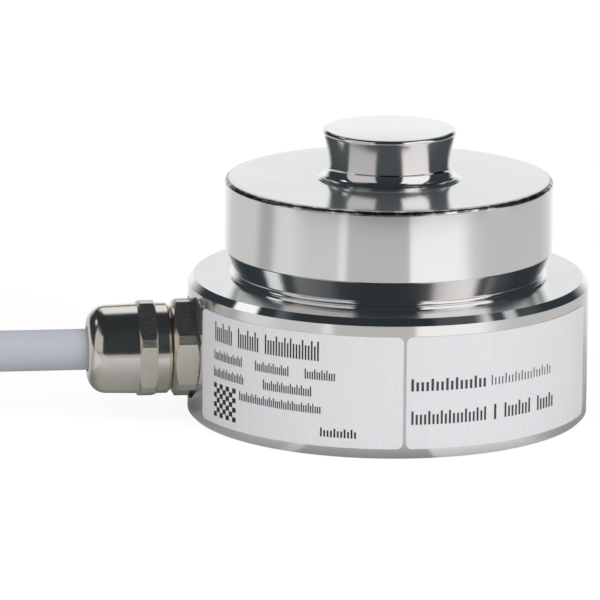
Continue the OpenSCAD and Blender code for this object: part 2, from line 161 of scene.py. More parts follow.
# The seal ring between the base's top and the neck, with its hollow fillet.
BASE_TOP = 20.8
SEAL_INNER_R = 22.65
SEAL_OUTER_R = 23.85
SEAL_HOLLOW_R = 0.7
SEAL_HOLLOW_ANGLES = (260, 190)
SEAL_STEPS = 14
TURNED_SEGMENTS = 256
SHARP_ANGLE = math.radians(15)

# The gland, in millimetres: points are the distance out from the base's axis and the radius.
GLAND_Z = 10.2
HEX_SIDES = 6
HEX_STEP = 360 / HEX_SIDES
HEX_AF = 13.8
FLAT_STEPS = 16
CORNER_STEPS = 3
BODY_THREAD = [(23, 3.6), (23, 5.65), (23.3, 5.95), (27.7, 5.95), (27.7, 5.7), (28.5, 5.7)]
BODY_COLLAR = [(28.5, 6.9), (29.1, 6.9)]
BODY_HEX = (29.1, 33.0)
BODY_SLEEVE = [(33.0, 5.7), (39.4, 5.7), (39.4, 4.6), (31.6, 4.6), (31.6, 3.6)]
BODY_CORNER_R = 7.6
BODY_HEX_TURN = -9.0
NUT_SKIRT = [(33.15, 6.45), (33.5, 6.8), (35.2, 6.8)]
NUT_HEX = (35.2, 37.9)
NUT_CORNER_R = 7.65
NUT_HEX_TURN = -12.1
NUT_BORE = [(44.55, 3.5), (41.5, 4.9), (40.3, 4.9), (40.3, 5.75), (33.15, 5.75)]
# Ends of a hexagon: the radius of its end face and the chamfer's length at the corners.
FINE_END = (7.0, 0.32)
STEEP_END = (6.1, 0.9)
# The dome and its lip: the arc's centre, as a point, and its radius.
DOME_START_R = 6.75
DOME = (42.55, 3.9, 2.7)
DOME_STEPS = 20
LIP = (44.9, 3.85, 0.35)
LIP_STEPS = 6

# Labels, in millimetres; angles are in degrees to the side from the camera's direction.
FILM_LOW = 1.55
FILM_HEIGHT = 16.7
FILM_ANGLE = 69.5
FILM_STARTS = {"label_data": -65.9, "label_plate": 4.45}
FILM_CORNER = 0.9
FILM_CORNER_STEPS = 8
FILM_STEPS = 60
FILM_INNER_R = 30.02
FILM_OUTER_R = 30.14
PRINT_T = 0.02
# Rows of plain strokes: left and right edge in degrees, low and high edge, pitch of the strokes and their
# share of the pitch. The tops repeat along a row, as shares of its height.
DATA_ROWS = [
    (-58.0, -49.6, 14.2, 17.1, 0.48, 0.5),
    (-47.4, -39.1, 14.2, 17.1, 0.48, 0.5),
    (-37.2, -19.7, 14.2, 17.1, 0.48, 0.5),
    (-58.4, -45.5, 11.4, 12.9, 0.36, 0.5),
    (-40.7, -29.0, 11.4, 12.9, 0.36, 0.5),
    (-24.3, -15.1, 11.4, 12.9, 0.36, 0.5),
    (-58.6, -44.9, 8.8, 10.3, 0.36, 0.5),
    (-37.8, -22.0, 8.8, 10.3, 0.36, 0.5),
    (-46.8, -19.2, 6.35, 7.75, 0.36, 0.5),
    (-19.6, -8.9, 3.0, 4.3, 0.5, 0.5),
]
PLATE_ROWS = [
    (5.8, 28.2, 10.2, 12.0, 0.72, 0.5),
    (29.4, 52.4, 10.3, 11.8, 0.6, 0.3),
    (5.9, 28.3, 5.2, 7.2, 0.62, 0.5),
    (30.3, 31.2, 5.1, 7.4, 0.45, 0.8),
    (33.8, 43.7, 5.2, 7.4, 0.62, 0.5),
    (46.0, 53.6, 5.2, 7.4, 0.62, 0.5),
]
STROKE_TOPS = (1.0, 0.74, 0.74, 0.74, 1.0, 0.74, 0.74, 1.0, 0.74)
# The block of plain chequers: left and right edge in degrees, low and high edge, and its cells each way.
CHEQUERS = (-58.6, -48.3, 2.75, 7.85, 7)

# The cable and its coil, in metres; angles are in degrees.
CABLE_D = 6.2 * MM
# The cable runs from inside the gland down to the surface and on to the coil: x and z.
CABLE_ROUTE = [
    (-0.026, 0.0102), (-0.036, 0.0102), (-0.046, 0.0102), (-0.054, 0.0102), (-0.061, 0.0102),
    (-0.066, 0.010), (-0.070, 0.0094), (-0.074, 0.0084), (-0.078, 0.0073), (-0.082, 0.0061),
    (-0.086, 0.005), (-0.090, 0.004), (-0.094, 0.0035), (-0.098, 0.0032), (-0.103, 0.0033),
    (-0.108, 0.0036), (-0.114, 0.0039),
]
COIL_X = -0.114
COIL_Y = 0.0485
COIL_OUTER_R = 48.5 * MM
COIL_STEP = 6.4 * MM
LAYER_STEP = 6.25 * MM
COIL_ACROSS = 4
COIL_LAYERS = 5
COIL_FLOOR = 0.8 * MM
TURN_POINTS = 48
STEP_SHARE = 0.16
TAIL_RISE = 66.0
TAIL_STEP = 3
PATH_PARTS = 4
SHEATH_SIDES = 6
# Stripped cores: their angles along the coil, their spread and the share of it at the sheath's end.
CORE_COLOURS = ("core_black", "core_blue", "core_red", "core_white")
CORE_ANGLES = (66, 70, 75, 80, 86, 92, 98, 104)
CORE_SPREAD = 1.6 * MM
CORE_GATHERED = 0.75
CORE_R = 0.5 * MM
CORE_SIDES = 4
FERRULE_R = 0.7 * MM

# Turned faces, from the seat up: lowest z, least radius, roughness and depth of the turning rings.
BASE_FINISH = [
    (0, 0, 0.4, 0.0005 * MM),
    (0, 29.9 * MM, 0.12, 0.0009 * MM),
    (19.78 * MM, 0, 0.05, 0.0002 * MM),
    (20.78 * MM, 0, 0.165, 0.0004 * MM),
]
CAP_FINISH = [
    (0, 0, 0.045, 0.0002 * MM),
    (24.78 * MM, 24.2 * MM, 0.11, 0.0009 * MM),
    (35.3 * MM, 0, 0.17, 0.0003 * MM),
    (35.9 * MM, 0, 0.07, 0.0006 * MM),
    (42.95 * MM, 0, 0.1, 0.0003 * MM),
]
RING_FINISH = [(0, 0, 0.05, 0.0002 * MM)]
SCREW_FINISH = [(0, 0, 0.3, 0.0005 * MM)]
LINE_PITCH = 0.12 * MM
CLOUD_SCALE = 90.0
GLOSS_BY_CLOUD = (0.7, 1.0)
GLOSS_BY_LINES = (0.0, 0.3)
# The top of the cap's disc is hazy: low and high edge, share of haze.
CAP_HAZE = (35.45 * MM, 35.6 * MM, 0.07)
# The disc's rim is worn: lowest z and least radius.
CAP_WORN = (35.0 * MM, 23.95 * MM)
WORN_COLOUR = (0.2, 0.16, 0.125)
WORN_SCALE = 650
WORN_CONTRAST = (-1.6, 3.2)
WORN_DEPTH = 0.08 * MM
# The gland's milled flats lie outside this radius, and their marks run along its axis.
MILLED_R = 6.86 * MM
PLATE_UNEVEN = 0.3
MARK_SCALES = (500, 5000, 5000)
MARK_CLOUD_SCALE = 700.0
MARK_SHARES = (0.7, 0.3)
MILLED_GLOSS = (0.16, 0.42)
MILLED_TONE = (0.84, 1.08)
MILLED_DEPTH = 0.004 * MM
PLATE_DEPTH = 0.0002 * MM
# The label film's upright brush lines.
BRUSH_UNEVEN = 0.2
BRUSH_SCALES = (2600, 2600, 160)
BRUSH_TONE = (0.95, 1.05)
BRUSH_DEPTH = 0.004 * MM
GRAIN_STRENGTH = 0.3
GRAIN_UNEVEN = 0.15

COIL_INNER_R = COIL_OUTER_R - (COIL_ACROSS - 1) * COIL_STEP
COIL_TOP = COIL_FLOOR + CABLE_D + (COIL_LAYERS - 1) * LAYER_STEP


# Camera
def view_axes():
    """The camera's right, up and back directions, with the photograph's small roll."""
    back = Vector((
        math.sin(VIEW_AZIMUTH) * math.cos(VIEW_ELEVATION),
        -math.cos(VIEW_AZIMUTH) * math.cos(VIEW_ELEVATION),
        math.sin(VIEW_ELEVATION),
    ))
    right = Vector((0, 0, 1)).cross(back).normalized()
    up = back.cross(right)
    rolled_right = math.cos(VIEW_ROLL) * right + math.sin(VIEW_ROLL) * up
    rolled_up = math.cos(VIEW_ROLL) * up - math.sin(VIEW_ROLL) * right
    return rolled_right, rolled_up, back


def add_camera():
    right, up, back = view_axes()
    place = Vector((0, 0, AIM_HEIGHT)) + back * VIEW_DISTANCE + right * AIM_RIGHT + up * AIM_UP
    data = bpy.data.cameras.new("camera")
    data.sensor_width = SENSOR
    data.lens = SENSOR * FOCAL_PER_WIDTH
    data.clip_end = VIEW_REACH
    camera = bpy.data.objects.new("camera", data)
    turn = Matrix((right, up, back)).transposed().to_4x4()
    camera.matrix_world = Matrix.Translation(place) @ turn
    bpy.context.scene.collection.objects.link(camera)
    bpy.context.scene.camera = camera


# Cable
def smooth_path(points, parts):
    """Catmull-Rom points through the given ones, with this many parts to a stretch."""
    ends = [points[0] * 2 - points[1]] + points + [points[-1] * 2 - points[-2]]
    path = []
    for i in range(1, len(ends) - 2):
        a, b, c, d = ends[i - 1:i + 3]
        for k in range(parts):
            t = k / parts
            path.append(0.5 * (2 * b + (c - a) * t + (2 * a - 5 * b + 4 * c - d) * t * t
                               + (3 * b - a - 3 * c + d) * t ** 3))
    path.append(points[-1])
    return path


def eased(share):
    return (1 - math.cos(math.pi * min(max(share, 0), 1))) / 2


def coil_place(turn, out, z):
    """A point on the coil after this many turns, clockwise from where the lead comes in."""
    angle = math.radians(FRONT) - 2 * math.pi * turn
    return Vector((COIL_X + out * math.cos(angle), COIL_Y + out * math.sin(angle), z))


def turn_track(number):
    """Radius and height of one turn's track: inward on even layers, outward on odd ones."""
    layer, across = divmod(number, COIL_ACROSS)
    column = across if layer % 2 == 0 else COIL_ACROSS - 1 - across
    return COIL_OUTER_R - column * COIL_STEP, COIL_FLOOR + CABLE_D / 2 + layer * LAYER_STEP


def coil_path():
    """Round turns that each step to the next track over their last stretch."""
    path = []
    turns = COIL_ACROSS * COIL_LAYERS
    for number in range(turns):
        radius, z = turn_track(number)
        next_radius, next_z = turn_track(number + 1) if number + 1 < turns else (radius, z)
        for k in range(TURN_POINTS):
            share = k / TURN_POINTS
            step = eased((share - 1 + STEP_SHARE) / STEP_SHARE)
            out = radius + (next_radius - radius) * step
            path.append(coil_place(number + share, out, z + (next_z - z) * step))
    return path


def tail_z(angle):
    return COIL_TOP + CABLE_D / 2 - LAYER_STEP * (1 - eased(angle / TAIL_RISE))


def on_inner_turn(angle, out, z):
    return coil_place(angle / 360, COIL_INNER_R + out, z)


def place_piece(name, data, material):
    data.materials.append(material)
    piece = bpy.data.objects.new(name, data)
    bpy.context.scene.collection.objects.link(piece)
    return piece


def curve_piece(name, path, radius, sides, material):
    data = bpy.data.curves.new(name, "CURVE")
    data.dimensions = "3D"
    data.bevel_depth = radius
    data.bevel_resolution = sides
    data.use_fill_caps = True
    spline = data.splines.new("POLY")
    spline.points.add(len(path) - 1)
    for point, place in zip(spline.points, path):
        point.co = (*place, 1)
    spline.use_smooth = True
    return place_piece(name, data, material)


def core_path(number):
    """A stripped core leaves the sheath, fans out flat and settles on the coil."""
    last = len(CORE_ANGLES) - 1
    spread = (number - (len(CORE_COLOURS) - 1) / 2) * CORE_SPREAD
    start_z = tail_z(CORE_ANGLES[0])
    rest_z = COIL_TOP + FERRULE_R
    points = []
    for i, angle in enumerate(CORE_ANGLES):
        drop = eased(2 * i / last)
        out = spread * (CORE_GATHERED + (1 - CORE_GATHERED) * drop)
        points.append(on_inner_turn(angle, out, start_z + (rest_z - start_z) * drop))
    return smooth_path(points, PATH_PARTS)


def add_cable(looks):
    lead = smooth_path([Vector((x, 0, z)) for x, z in CABLE_ROUTE], PATH_PARTS)
    tail = [on_inner_turn(angle, 0, tail_z(angle)) for angle in range(0, int(TAIL_RISE) + 1, TAIL_STEP)]
    path = lead[:-1] + coil_path() + tail
    sheath = curve_piece("cable", path, CABLE_D / 2, SHEATH_SIDES, looks["cable_sheath"])
    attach(sheath, "root")
    sheath.visible_glossy = False
    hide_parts("cable_lead", "cable_coil", "cable_tail")
    for number, colour in enumerate(CORE_COLOURS):
        core = curve_piece("stripped_" + colour, core_path(number), CORE_R, CORE_SIDES, looks[colour])
        core.visible_glossy = False
        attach(core, "root")
        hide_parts(colour)
    for node in ("coil_ties", "core_ferrules"):
        cad(node).visible_glossy = False


def cad(node):
    return bpy.data.objects[node]


# Turned and milled pieces
def arc(across, up, radius, start, end, steps):
    """Points of a round arc in a profile, from one angle in degrees to another."""
    angles = [math.radians(start + (end - start) * i / steps) for i in range(steps + 1)]
    return [(across + radius * math.cos(a), up + radius * math.sin(a)) for a in angles]


def add_skin(mesh, rows, ring=False):
    """Faces over rows of points; a row of one point is a pole, and a ring's last row meets its first."""
    loops = [[mesh.verts.new(place * MM) for place in row] for row in rows]
    for first, second in zip(loops, loops[1:] + (loops[:1] if ring else [])):
        for i in range(max(len(first), len(second))):
            a, b = first[i % len(first)], first[(i + 1) % len(first)]
            c, d = second[(i + 1) % len(second)], second[i % len(second)]
            mesh.faces.new(list(dict.fromkeys((a, b, c, d))))
    if not ring:
        for loop in (loops[0], loops[-1]):
            if len(loop) > 2:
                mesh.faces.new(loop)


def mesh_piece(name, mesh, material):
    """Smooth faces with sharp edges where they meet at more than a small angle."""
    bmesh.ops.recalc_face_normals(mesh, faces=mesh.faces)
    for face in mesh.faces:
        face.smooth = True
    for edge in mesh.edges:
        edge.smooth = edge.calc_face_angle(0) < SHARP_ANGLE
    data = bpy.data.meshes.new(name)
    mesh.to_mesh(data)
    mesh.free()
    return place_piece(name, data, material)


def dress(piece, node):
    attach(piece, "root")
    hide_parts(node)


def turned_rows(profile):
    """Rows of points round Z for a profile of radius and height."""
    angles = [2 * math.pi * i / TURNED_SEGMENTS for i in range(TURNED_SEGMENTS)]
    rows = []
    for radius, z in profile:
        if radius == 0:
            rows.append([Vector((0, 0, z))])
        else:
            rows.append([Vector((radius * math.cos(a), radius * math.sin(a), z)) for a in angles])
    return rows


def flank():
    """The button's flank, from its rim down to just above the waist: partly straight, the rest bowed."""
    lean = math.radians(RIM_LEAN)
    top_r = BUTTON_R - RIM_ROUND * (1 - math.cos(lean))
    top_z = CAP_TOP - RIM_ROUND * (1 + math.sin(lean))
    points = []
    for i in range(FLANK_STEPS - 1, 0, -1):
        s = i / FLANK_STEPS
        bow = FLANK_STRAIGHT * s + (1 - FLANK_STRAIGHT) * s * s
        points.append((WAIST_R + (top_r - WAIST_R) * bow, WAIST_Z + (top_z - WAIST_Z) * s))
    return points


def waist_foot():
    """The quarter of a tall ellipse that widens the waist into the disc."""
    across, tall = WAIST_FOOT
    angles = [math.pi / 2 * i / WAIST_FOOT_STEPS for i in range(WAIST_FOOT_STEPS + 1)]
    return [(WAIST_R + across * (1 - math.cos(a)), WAIST_Z - tall * math.sin(a)) for a in angles]


def cap_profile():
    """The cap from its load face over the button, the waist, the disc and the neck to the hub's spigot."""
    rim = arc(BUTTON_R - RIM_ROUND, CAP_TOP - RIM_ROUND, RIM_ROUND, 90, -RIM_LEAN, RIM_STEPS)
    button = [(0, CAP_TOP)] + rim + flank() + waist_foot()
    edge = arc(DISC_R - DISC_ROUND, DISC_TOP - DISC_ROUND, DISC_ROUND, DISC_ROUND_START, 0, DISC_STEPS)
    disc = [(FOOT_EDGE_R, DISC_TOP), (DISC_FLAT_R, DISC_TOP)] + edge
    below = [(DISC_R, DISC_BOTTOM), (DISC_R - DISC_BEVEL, DISC_BOTTOM - DISC_BEVEL), (NECK_R, CAP_BOTTOM)]
    hub = [(HUB_R, CAP_BOTTOM), (HUB_R, HUB_BOTTOM), (SPIGOT_R, HUB_BOTTOM), (SPIGOT_R, SPIGOT_BOTTOM)]
    return button + disc + below + hub + [(0, SPIGOT_BOTTOM)]


def seal_profile():
    foot = [(SEAL_INNER_R, BASE_TOP), (SEAL_OUTER_R, BASE_TOP)]
    hollow = arc(SEAL_OUTER_R, CAP_BOTTOM, SEAL_HOLLOW_R, *SEAL_HOLLOW_ANGLES, SEAL_STEPS)
    return foot + hollow + [(NECK_R, CAP_BOTTOM), (SEAL_INNER_R, CAP_BOTTOM)]


def add_turned(looks):
    cap = bmesh.new()
    add_skin(cap, turned_rows(cap_profile()))
    dress(mesh_piece("load_cap_turned", cap, looks["cap_steel"]), "load_cap")
    seal = bmesh.new()
    add_skin(seal, turned_rows(seal_profile()), ring=True)
    dress(mesh_piece("seal_ring_turned", seal, looks["ring_steel"]), "seal_ring")


def hex_angles(corner_r, turn):
    """Angles round the gland's axis that meet both edges of each flat."""
    half = math.degrees(math.acos(HEX_AF / 2 / corner_r))
    angles = []
    for k in range(HEX_SIDES):
        centre = turn + HEX_STEP * (k + 0.5)
        angles += [centre - half + 2 * half * i / FLAT_STEPS for i in range(FLAT_STEPS)]
        angles += [centre + half + (HEX_STEP - 2 * half) * i / CORNER_STEPS for i in range(CORNER_STEPS)]
    return angles


def round_section(along, radius):
    return lambda angle: (along, radius)


def hex_sections(start, end, corner_r, turn, start_face, end_face):
    """Four sections of a hexagon whose corners are turned down and whose ends have cone chamfers.

    Each face is given as the radius at the end and the chamfer's length at the corners.
    """
    def radius_at(angle):
        across = math.radians((angle - turn) % HEX_STEP - HEX_STEP / 2)
        return min(HEX_AF / 2 / math.cos(across), corner_r)

    def edge(angle, along, face, sign):
        face_r, length = face
        radius = radius_at(angle)
        return along + sign * length * max(radius - face_r, 0) / (corner_r - face_r), radius

    return [
        lambda angle: (start, min(radius_at(angle), start_face[0])),
        lambda angle: edge(angle, start, start_face, 1),
        lambda angle: edge(angle, end, end_face, -1),
        lambda angle: (end, min(radius_at(angle), end_face[0])),
    ]


def gland_rows(sections, angles):
    """Rows of points round the gland's axis, which runs out along -X."""
    rows = []
    for section in sections:
        row = []
        for angle in angles:
            along, radius = section(angle)
            turned = math.radians(angle)
            row.append(Vector((-along, radius * math.sin(turned), GLAND_Z + radius * math.cos(turned))))
        rows.append(row)
    return rows


def rounds(points):
    return [round_section(along, radius) for along, radius in points]


def add_gland(looks):
    body = bmesh.new()
    hexagon = hex_sections(*BODY_HEX, BODY_CORNER_R, BODY_HEX_TURN, FINE_END, STEEP_END)
    sections = rounds(BODY_THREAD + BODY_COLLAR) + hexagon + rounds(BODY_SLEEVE)
    add_skin(body, gland_rows(sections, hex_angles(BODY_CORNER_R, BODY_HEX_TURN)), ring=True)
    dress(mesh_piece("gland_body_milled", body, looks["nickel_brass"]), "gland_body")
    nut = bmesh.new()
    hexagon = hex_sections(*NUT_HEX, NUT_CORNER_R, NUT_HEX_TURN, FINE_END, FINE_END)
    dome = [(NUT_HEX[1], DOME_START_R)] + arc(*DOME, 90, 0, DOME_STEPS) + arc(*LIP, 0, -90, LIP_STEPS)
    sections = rounds(NUT_SKIRT) + hexagon + rounds(dome + NUT_BORE)
    add_skin(nut, gland_rows(sections, hex_angles(NUT_CORNER_R, NUT_HEX_TURN)), ring=True)
    dress(mesh_piece("gland_nut_milled", nut, looks["nickel_brass"]), "gland_nut")


# Labels
def rim_column(azimuth, inner_r, outer_r, low, high):
    """Four corners of a thin film's section at this angle from the view's side."""
    angle = math.radians(azimuth + FRONT) + VIEW_AZIMUTH
    across = Vector((math.cos(angle), math.sin(angle), 0))
    up = Vector((0, 0, 1))
    return [across * outer_r + up * low, across * outer_r + up * high, across * inner_r + up * high,
            across * inner_r + up * low]


def film_rows(start):
    """Sections along a label with rounded corners."""
    per_mm = math.degrees(1 / FILM_OUTER_R)
    width = FILM_ANGLE / per_mm
    turns = [math.radians(90 * i / FILM_CORNER_STEPS) for i in range(FILM_CORNER_STEPS + 1)]
    corner = [FILM_CORNER * (1 - math.cos(turn)) for turn in turns]
    middle = [FILM_CORNER + (width - 2 * FILM_CORNER) * i / FILM_STEPS for i in range(1, FILM_STEPS)]
    rows = []
    for s in corner + middle + [width - c for c in reversed(corner)]:
        near = min(s, width - s, FILM_CORNER)
        inset = FILM_CORNER - math.sqrt(FILM_CORNER ** 2 - (FILM_CORNER - near) ** 2)
        high = FILM_LOW + FILM_HEIGHT - inset
        rows.append(rim_column(start + s * per_mm, FILM_INNER_R, FILM_OUTER_R, FILM_LOW + inset, high))
    return rows


def add_stroke(mesh, left, right, low, high):
    add_skin(mesh, [rim_column(a, FILM_OUTER_R, FILM_OUTER_R + PRINT_T, low, high) for a in (left, right)])


def add_row(mesh, left, right, low, high, pitch, share):
    """A row of plain upright strokes, some of them taller."""
    pitch_angle = math.degrees(pitch / FILM_OUTER_R)
    count = max(1, round((right - left) / pitch_angle))
    step = (right - left) / count
    for i in range(count):
        top = STROKE_TOPS[i % len(STROKE_TOPS)]
        add_stroke(mesh, left + i * step, left + (i + share) * step, low, low + (high - low) * top)


def add_chequers(mesh, left, right, low, high, cells):
    width = (right - left) / cells
    height = (high - low) / cells
    for i in range(cells):
        for k in range(i % 2, cells, 2):
            from_left = left + i * width
            from_low = low + k * height
            add_stroke(mesh, from_left, from_left + width, from_low, from_low + height)


def add_labels(looks):
    for node, start in FILM_STARTS.items():
        film = bmesh.new()
        add_skin(film, film_rows(start))
        dress(mesh_piece(node + "_film", film, looks["label_film"]), node)
    data_print = bmesh.new()
    for row in DATA_ROWS:
        add_row(data_print, *row)
    add_chequers(data_print, *CHEQUERS)
    plate_print = bmesh.new()
    for row in PLATE_ROWS:
        add_row(plate_print, *row)
    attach(mesh_piece("label_data_print", data_print, looks["print_black"]), "root")
    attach(mesh_piece("label_plate_print", plate_print, looks["print_grey"]), "root")


# Materials
class Nodes:
    """A node tree with short calls for the nodes that both materials and studio use."""

    def __init__(self, tree):
        self.tree = tree

    def add(self, kind, **values):
        node = self.tree.nodes.new(kind)
        for key, value in values.items():
            setattr(node, key, value)
        return node

    def link(self, source, target):
        self.tree.links.new(source, target)

    def feed(self, target, value):
        """Sets a socket to a number, or links it to another node's output."""
        if isinstance(value, (int, float)):
            target.default_value = value
        else:
            self.link(value, target)

    def math(self, operation, *values):
        node = self.add("ShaderNodeMath", operation=operation)
        for socket, value in zip(node.inputs, values):
            self.feed(socket, value)
        return node.outputs[0]

    def times(self, first, second):
        return self.math("MULTIPLY", first, second)

    def plus(self, first, second):
        return self.math("ADD", first, second)

    def minus(self, first, second):
        return self.math("SUBTRACT", first, second)

    def distance(self, first, second):
        """Distance from an axis, from the two coordinates across it."""
        return self.math("SQRT", self.plus(self.times(first, first), self.times(second, second)))

    def split(self, vector):
        node = self.add("ShaderNodeSeparateXYZ")
        self.link(vector, node.inputs[0])
        return node.outputs

    def scaled(self, tone, colour):
        """The colour times the tone."""
        node = self.add("ShaderNodeVectorMath", operation="SCALE")
        node.inputs[0].default_value = colour
        self.link(tone, node.inputs["Scale"])
        return node.outputs[0]


class Shader(Nodes):
    """A material with its surface and the object's own coordinates."""

    def __init__(self, name, colour, roughness, metallic=0.0):
        self.material = bpy.data.materials.new(name)
        self.material.use_nodes = True
        super().__init__(self.material.node_tree)
        self.surface = self.tree.nodes["Principled BSDF"]
        self.surface.inputs["Base Color"].default_value = (*colour, 1)
        self.surface.inputs["Roughness"].default_value = roughness
        self.surface.inputs["Metallic"].default_value = metallic
        self.coords = self.add("ShaderNodeTexCoord").outputs["Object"]

    def noise(self, vector, scale, detail, w=None):
        node = self.add("ShaderNodeTexNoise", noise_dimensions="3D" if w is None else "4D")
        self.link(vector, node.inputs["Vector"])
        node.inputs["Scale"].default_value = scale
        node.inputs["Detail"].default_value = detail
        if w is not None:
            self.link(w, node.inputs["W"])
        return node.outputs["Fac"]

    def vector(self, x, y, z):
        node = self.add("ShaderNodeCombineXYZ")
        for socket, value in zip(node.inputs, (x, y, z)):
            self.feed(socket, value)
        return node.outputs[0]

    def stretched(self, scales):
        """The object's coordinates, each times a scale of its own."""
        return self.vector(*[self.times(part, scale) for part, scale in zip(self.split(self.coords), scales)])

    def inside(self, first, low, second, low_second):
        """One where both values lie over their limits."""
        first_over = self.math("GREATER_THAN", first, low)
        return self.times(first_over, self.math("GREATER_THAN", second, low_second))

    def clamped(self, value):
        return self.math("MINIMUM", self.math("MAXIMUM", value, 0.0), 1.0)

    def spread(self, value, low, high):
        """Maps 0 to 1 onto low to high."""
        return self.plus(self.times(value, high - low), low)

    def uneven(self, value, roughness, share):
        """Roughness that is off by up to this share, either way."""
        return self.spread(value, roughness * (1 - share), min(roughness * (1 + share), 1.0))

    def blend(self, share, low, high):
        """Low where the share is 0 and high where it is 1."""
        return self.plus(self.times(self.minus(1.0, share), low), self.times(share, high))

    def bump(self, height, strength, depth):
        node = self.add("ShaderNodeBump")
        node.inputs["Strength"].default_value = strength
        node.inputs["Distance"].default_value = depth
        self.link(height, node.inputs["Height"])
        self.link(node.outputs[0], self.surface.inputs["Normal"])

    def roughness(self, value):
        self.link(value, self.surface.inputs["Roughness"])

    def tinted(self, tone, colour):
        """Colours the surface by the colour times the tone."""
        self.link(self.scaled(tone, colour), self.surface.inputs["Base Color"])

    def mixed(self, share, first, second):
        """Colours the surface by the first colour where the share is 0 and by the second where it is 1."""
        node = self.add("ShaderNodeMix", data_type="RGBA")
        factor, colours, result = node.inputs[0], node.inputs[6:8], node.outputs[2]
        self.feed(factor, share)
        for socket, colour in zip(colours, (first, second)):
            socket.default_value = (*colour, 1)
        self.link(result, self.surface.inputs["Base Color"])


def turned_steel(name, colour, finish, haze=None, worn=None):
    """Steel from the lathe: fine rings round the turning axis, and a gloss that differs from face to face.

    The finish lists zones as (lowest z, least radius, roughness, depth of the rings), and the last that fits
    counts. Haze dulls the faces between two heights, and a worn rim is browned and dented in spots.
    """
    _, _, roughness, depth = finish[0]
    shader = Shader(name, colour, roughness, metallic=1.0)
    x, y, z = shader.split(shader.coords)
    radius = shader.distance(x, y)
    around = shader.vector(shader.math("DIVIDE", x, radius), shader.math("DIVIDE", y, radius),
                           shader.math("DIVIDE", z, LINE_PITCH))
    lines = shader.noise(around, scale=1.0, detail=3.0, w=shader.math("DIVIDE", radius, LINE_PITCH))
    cloud = shader.noise(shader.coords, CLOUD_SCALE, detail=4.0)
    for low, inner_r, zone_roughness, zone_depth in finish[1:]:
        here = shader.inside(z, low, radius, inner_r)
        roughness = shader.blend(here, roughness, zone_roughness)
        depth = shader.blend(here, depth, zone_depth)
    uneven = shader.plus(shader.spread(cloud, *GLOSS_BY_CLOUD), shader.spread(lines, *GLOSS_BY_LINES))
    shader.roughness(shader.times(roughness, uneven))
    height = shader.times(lines, depth)
    if haze:
        low, high, share = haze
        here = shader.times(shader.math("GREATER_THAN", z, low), shader.math("LESS_THAN", z, high))
        shader.link(shader.blend(here, 1.0, 1.0 - share), shader.surface.inputs["Metallic"])
    if worn:
        low, inner_r = worn
        spots = shader.noise(shader.coords, WORN_SCALE, detail=5.0)
        here = shader.inside(z, low, radius, inner_r)
        browned = shader.times(here, shader.clamped(shader.spread(spots, *WORN_CONTRAST)))
        shader.mixed(browned, colour, WORN_COLOUR)
        height = shader.plus(height, shader.times(shader.times(here, spots), WORN_DEPTH))
    shader.bump(height, strength=1.0, depth=1.0)
    return shader.material


def plated_metal(name, colour, roughness):
    """Nickel plate or solder, marked finely along the gland's axis outside the gland's turned faces."""
    shader = Shader(name, colour, roughness, metallic=1.0)
    x, y, z = shader.split(shader.coords)
    radius = shader.distance(y, shader.minus(z, GLAND_Z * MM))
    milled = shader.math("GREATER_THAN", radius, MILLED_R)
    lines = shader.noise(shader.stretched(MARK_SCALES), scale=1.0, detail=4.0)
    cloud = shader.noise(shader.coords, MARK_CLOUD_SCALE, detail=5.0)
    marks = shader.plus(shader.times(lines, MARK_SHARES[0]), shader.times(cloud, MARK_SHARES[1]))
    turned_gloss = shader.uneven(cloud, roughness, PLATE_UNEVEN)
    shader.roughness(shader.blend(milled, turned_gloss, shader.spread(marks, *MILLED_GLOSS)))
    shader.tinted(shader.blend(milled, 1.0, shader.spread(marks, *MILLED_TONE)), colour)
    height = shader.times(marks, shader.blend(milled, PLATE_DEPTH, MILLED_DEPTH))
    shader.bump(height, strength=1.0, depth=1.0)
    return shader.material


def brushed_film(name, colour, roughness):
    """Metallised label film with fine upright brush lines."""
    shader = Shader(name, colour, roughness)
    lines = shader.noise(shader.stretched(BRUSH_SCALES), scale=1.0, detail=4.0)
    shader.roughness(shader.uneven(lines, roughness, BRUSH_UNEVEN))
    shader.tinted(shader.spread(lines, *BRUSH_TONE), colour)
    shader.bump(lines, GRAIN_STRENGTH, BRUSH_DEPTH)
    return shader.material


def grained(name, colour, roughness, grain, depth):
    """Foil, plastic, rubber, lacquer or ink with a fine even grain."""
    shader = Shader(name, colour, roughness)
    fine = shader.noise(shader.coords, grain, detail=3.0)
    shader.roughness(shader.uneven(fine, roughness, GRAIN_UNEVEN))
    shader.bump(fine, GRAIN_STRENGTH, depth)
    return shader.material


